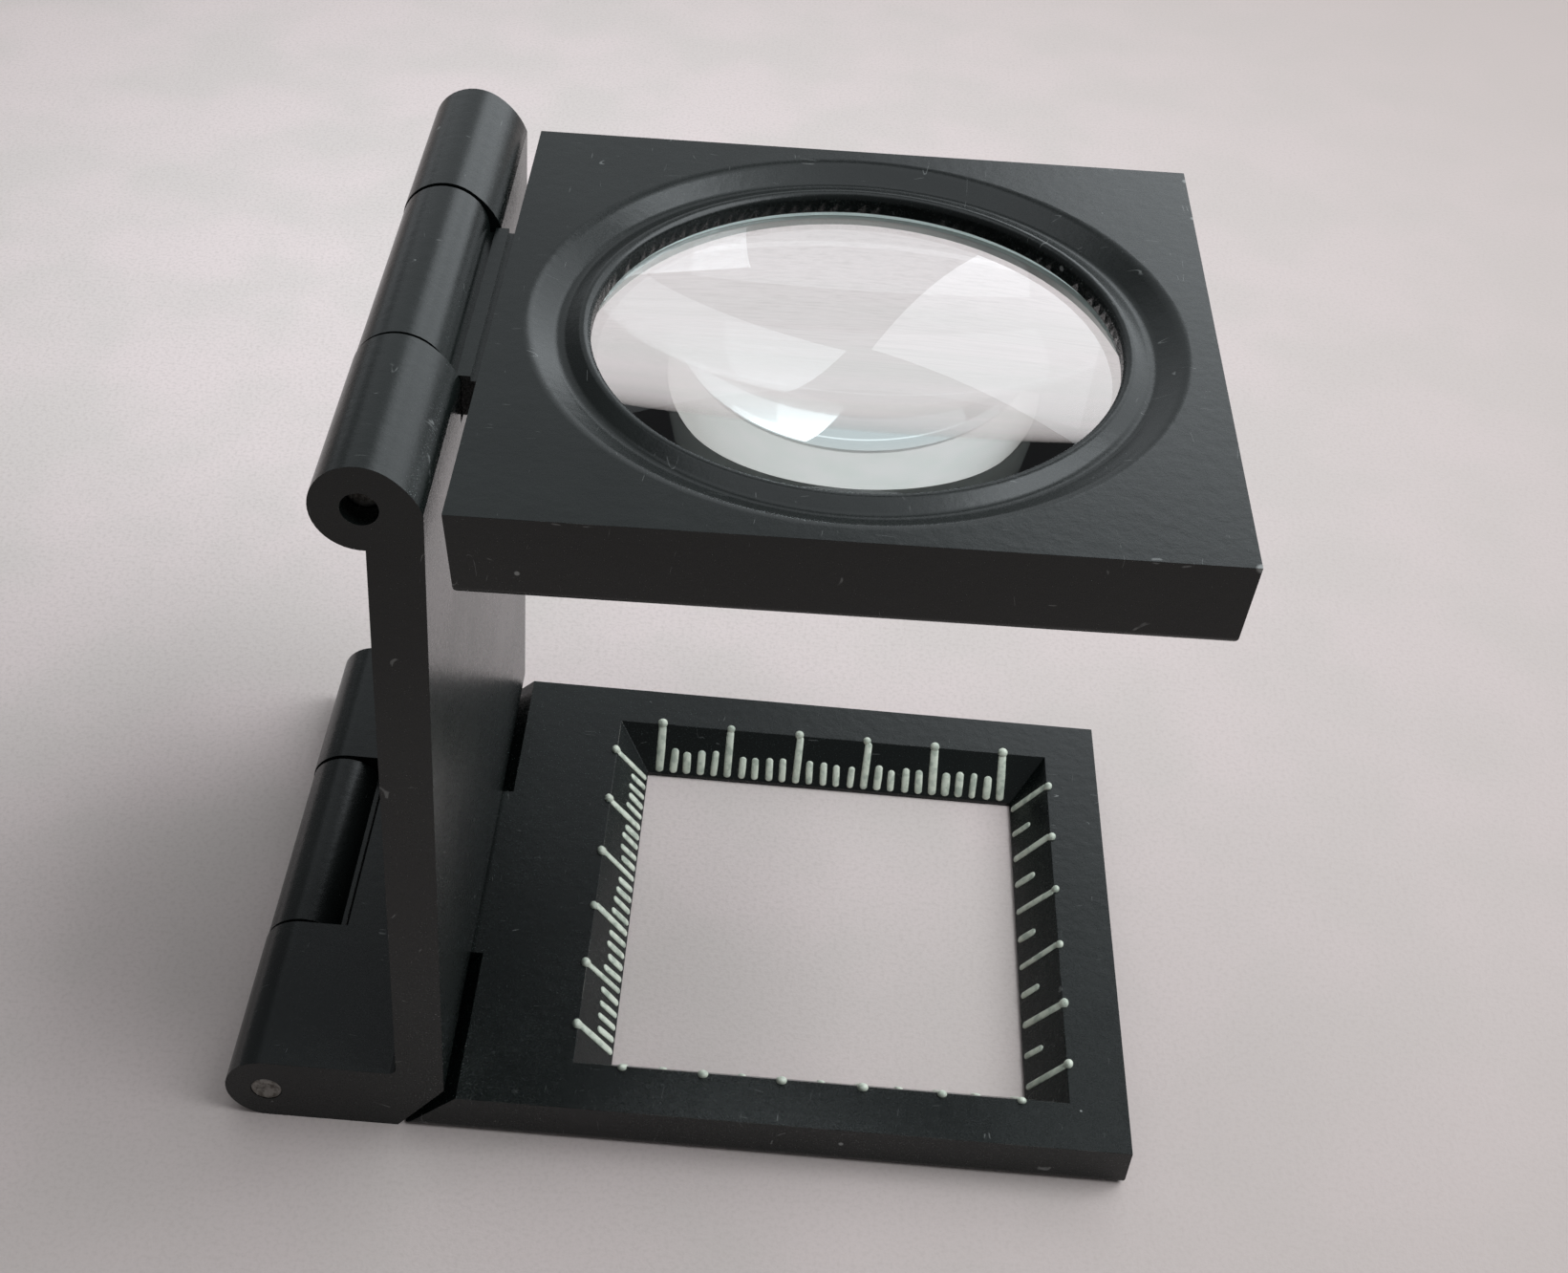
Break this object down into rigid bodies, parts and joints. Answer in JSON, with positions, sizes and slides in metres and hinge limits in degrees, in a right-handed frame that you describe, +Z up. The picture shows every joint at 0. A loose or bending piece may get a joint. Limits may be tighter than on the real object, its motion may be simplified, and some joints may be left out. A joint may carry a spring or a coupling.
{
  "type": "folding stand magnifier",
  "caption": "Folding linen tester: a scaled square window in a flat base, an upright and a lens plate with a round biconvex lens, joined by two barrel hinges that fold it flat.",
  "frame": {"origin": "centre of the bounding box in X and Y, on the surface that the base rests on", "axes": "+X from the hinges towards the free ends of both plates, +Y along the hinge pins, +Z up from the base to the lens plate"},
  "size_m": [0.0556, 0.038, 0.0506],
  "materials": {
    "black_paint": "semi-gloss baked black enamel on a metal casting",
    "hinge_steel": "dull cut steel wire",
    "scale_enamel": "ivory enamel beads",
    "lens_glass": "clear polished glass"
  },
  "bodies": {
    "stand": {"upright": "black_paint", "upper_hinge_pin": "hinge_steel", "lower_hinge_pin": "hinge_steel"},
    "base": {"base_frame": "black_paint", "scale_marks_far": "scale_enamel", "scale_marks_near": "scale_enamel", "scale_marks_left": "scale_enamel", "scale_marks_right": "scale_enamel"},
    "lens_plate": {"lens_frame": "black_paint", "lens": "lens_glass", "lens_retaining_ring": "hinge_steel"}
  },
  "joints": [
    {"name": "base_fold", "type": "hinge", "parent": "stand", "child": "base", "pos_m": [-0.02533, 0, 0.0025], "axis": [0, 1, 0], "range_deg": [0, 270]},
    {"name": "lens_fold", "type": "hinge", "parent": "stand", "child": "lens_plate", "pos_m": [-0.01752, 0, 0.0481], "axis": [0, -1, 0], "range_deg": [0, 268.3]}
  ]
}
